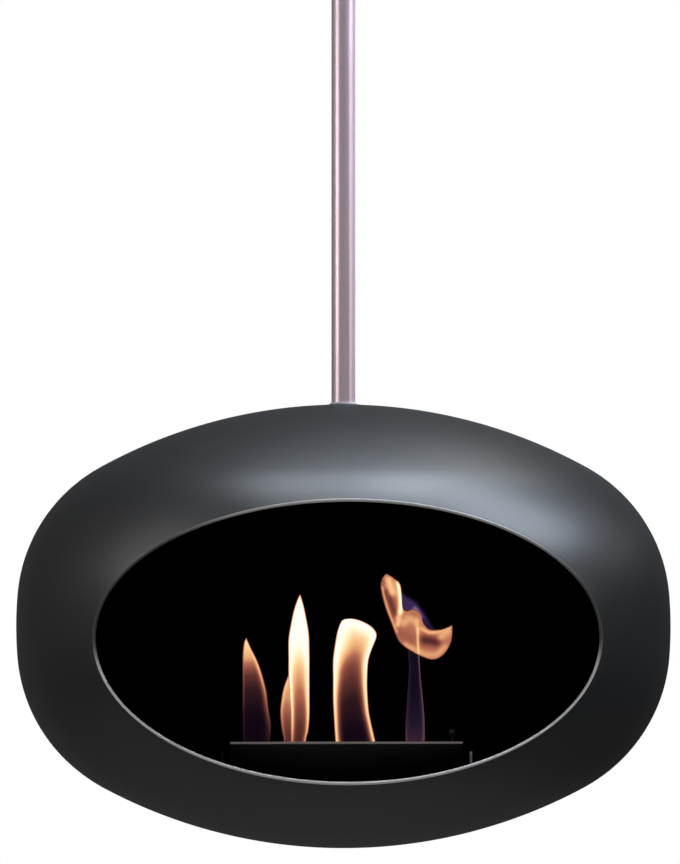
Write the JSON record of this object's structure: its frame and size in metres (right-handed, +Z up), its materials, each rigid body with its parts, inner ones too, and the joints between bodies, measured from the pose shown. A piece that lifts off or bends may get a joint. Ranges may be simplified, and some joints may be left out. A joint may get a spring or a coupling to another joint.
{
  "type": "hanging fireplace",
  "caption": "Squeezed-ball steel fire bowl with a wide oval mouth and a slot burner, turning on a ball-bearing swivel at the foot of a ceiling pole.",
  "frame": {"origin": "centre of the ceiling plate's upper face, on the pole's axis, where the fireplace meets the ceiling", "axes": "+Z up along the pole, -Y out of the mouth towards the viewer, +X to the viewer's right"},
  "size_m": [0.58, 0.5396, 1.198],
  "materials": {
    "black_powder_coat": "satin",
    "black_heat_paint": "matte",
    "black_gloss_plate": "gloss",
    "brushed_stainless": "brushed",
    "burner_stainless": "satin",
    "zinc_steel": "satin",
    "bearing_steel": "polished",
    "cage_brass": "satin",
    "bronze": "satin",
    "slip_washer": "satin",
    "ceramic_wool": "matte",
    "dark_screw": "matte",
    "dark_knob": "satin"
  },
  "bodies": {
    "ceiling_pole": {"ceiling_plate": "zinc_steel", "canopy": "brushed_stainless", "canopy_collar": "brushed_stainless", "collar_screw": "dark_screw", "pole": "brushed_stainless", "pole_bolt": "zinc_steel", "pole_nut": "zinc_steel", "pole_foot": "zinc_steel", "swivel_bolt": "zinc_steel", "top_washer": "slip_washer", "load_washer": "zinc_steel", "lower_race": "bearing_steel"},
    "ball_cage": {"bearing_cage": "cage_brass", "bearing_balls": "bearing_steel"},
    "fire_bowl": {"shell_upper": "black_powder_coat", "shell_lower": "black_powder_coat", "crown_hub": "black_powder_coat", "hub_bush": "bronze", "upper_race": "bearing_steel", "heat_shield": "black_heat_paint", "shield_spacers": "zinc_steel", "shield_screws": "zinc_steel", "cradle_left": "black_heat_paint", "cradle_right": "black_heat_paint", "cradle_floor": "black_heat_paint"},
    "burner": {"burner_case": "burner_stainless", "burner_top": "burner_stainless", "ceramic_fibre": "ceramic_wool", "fibre_mesh": "burner_stainless", "fascia": "black_gloss_plate", "fascia_studs": "burner_stainless"},
    "slide_lid": {"lid": "burner_stainless", "lid_knob": "dark_knob"}
  },
  "joints": [
    {"name": "swivel", "type": "hinge", "parent": "ceiling_pole", "child": "fire_bowl", "pos_m": [0, 0, -0.8235], "axis": [0, 0, 1], "continuous": true},
    {"name": "cage_turn", "type": "hinge", "parent": "ceiling_pole", "child": "ball_cage", "pos_m": [0, 0, -0.828], "axis": [0, 0, 1], "continuous": true},
    {"name": "burner_lift", "type": "slide", "parent": "fire_bowl", "child": "burner", "axis": [0, 0, 1], "range_m": [0, 0.06]},
    {"name": "lid_slide", "type": "slide", "parent": "burner", "child": "slide_lid", "axis": [0, -1, 0], "range_m": [0, 0.032]}
  ],
  "couplings": [
    {"joint": "cage_turn", "follows": "swivel", "ratio": 0.5}
  ]
}
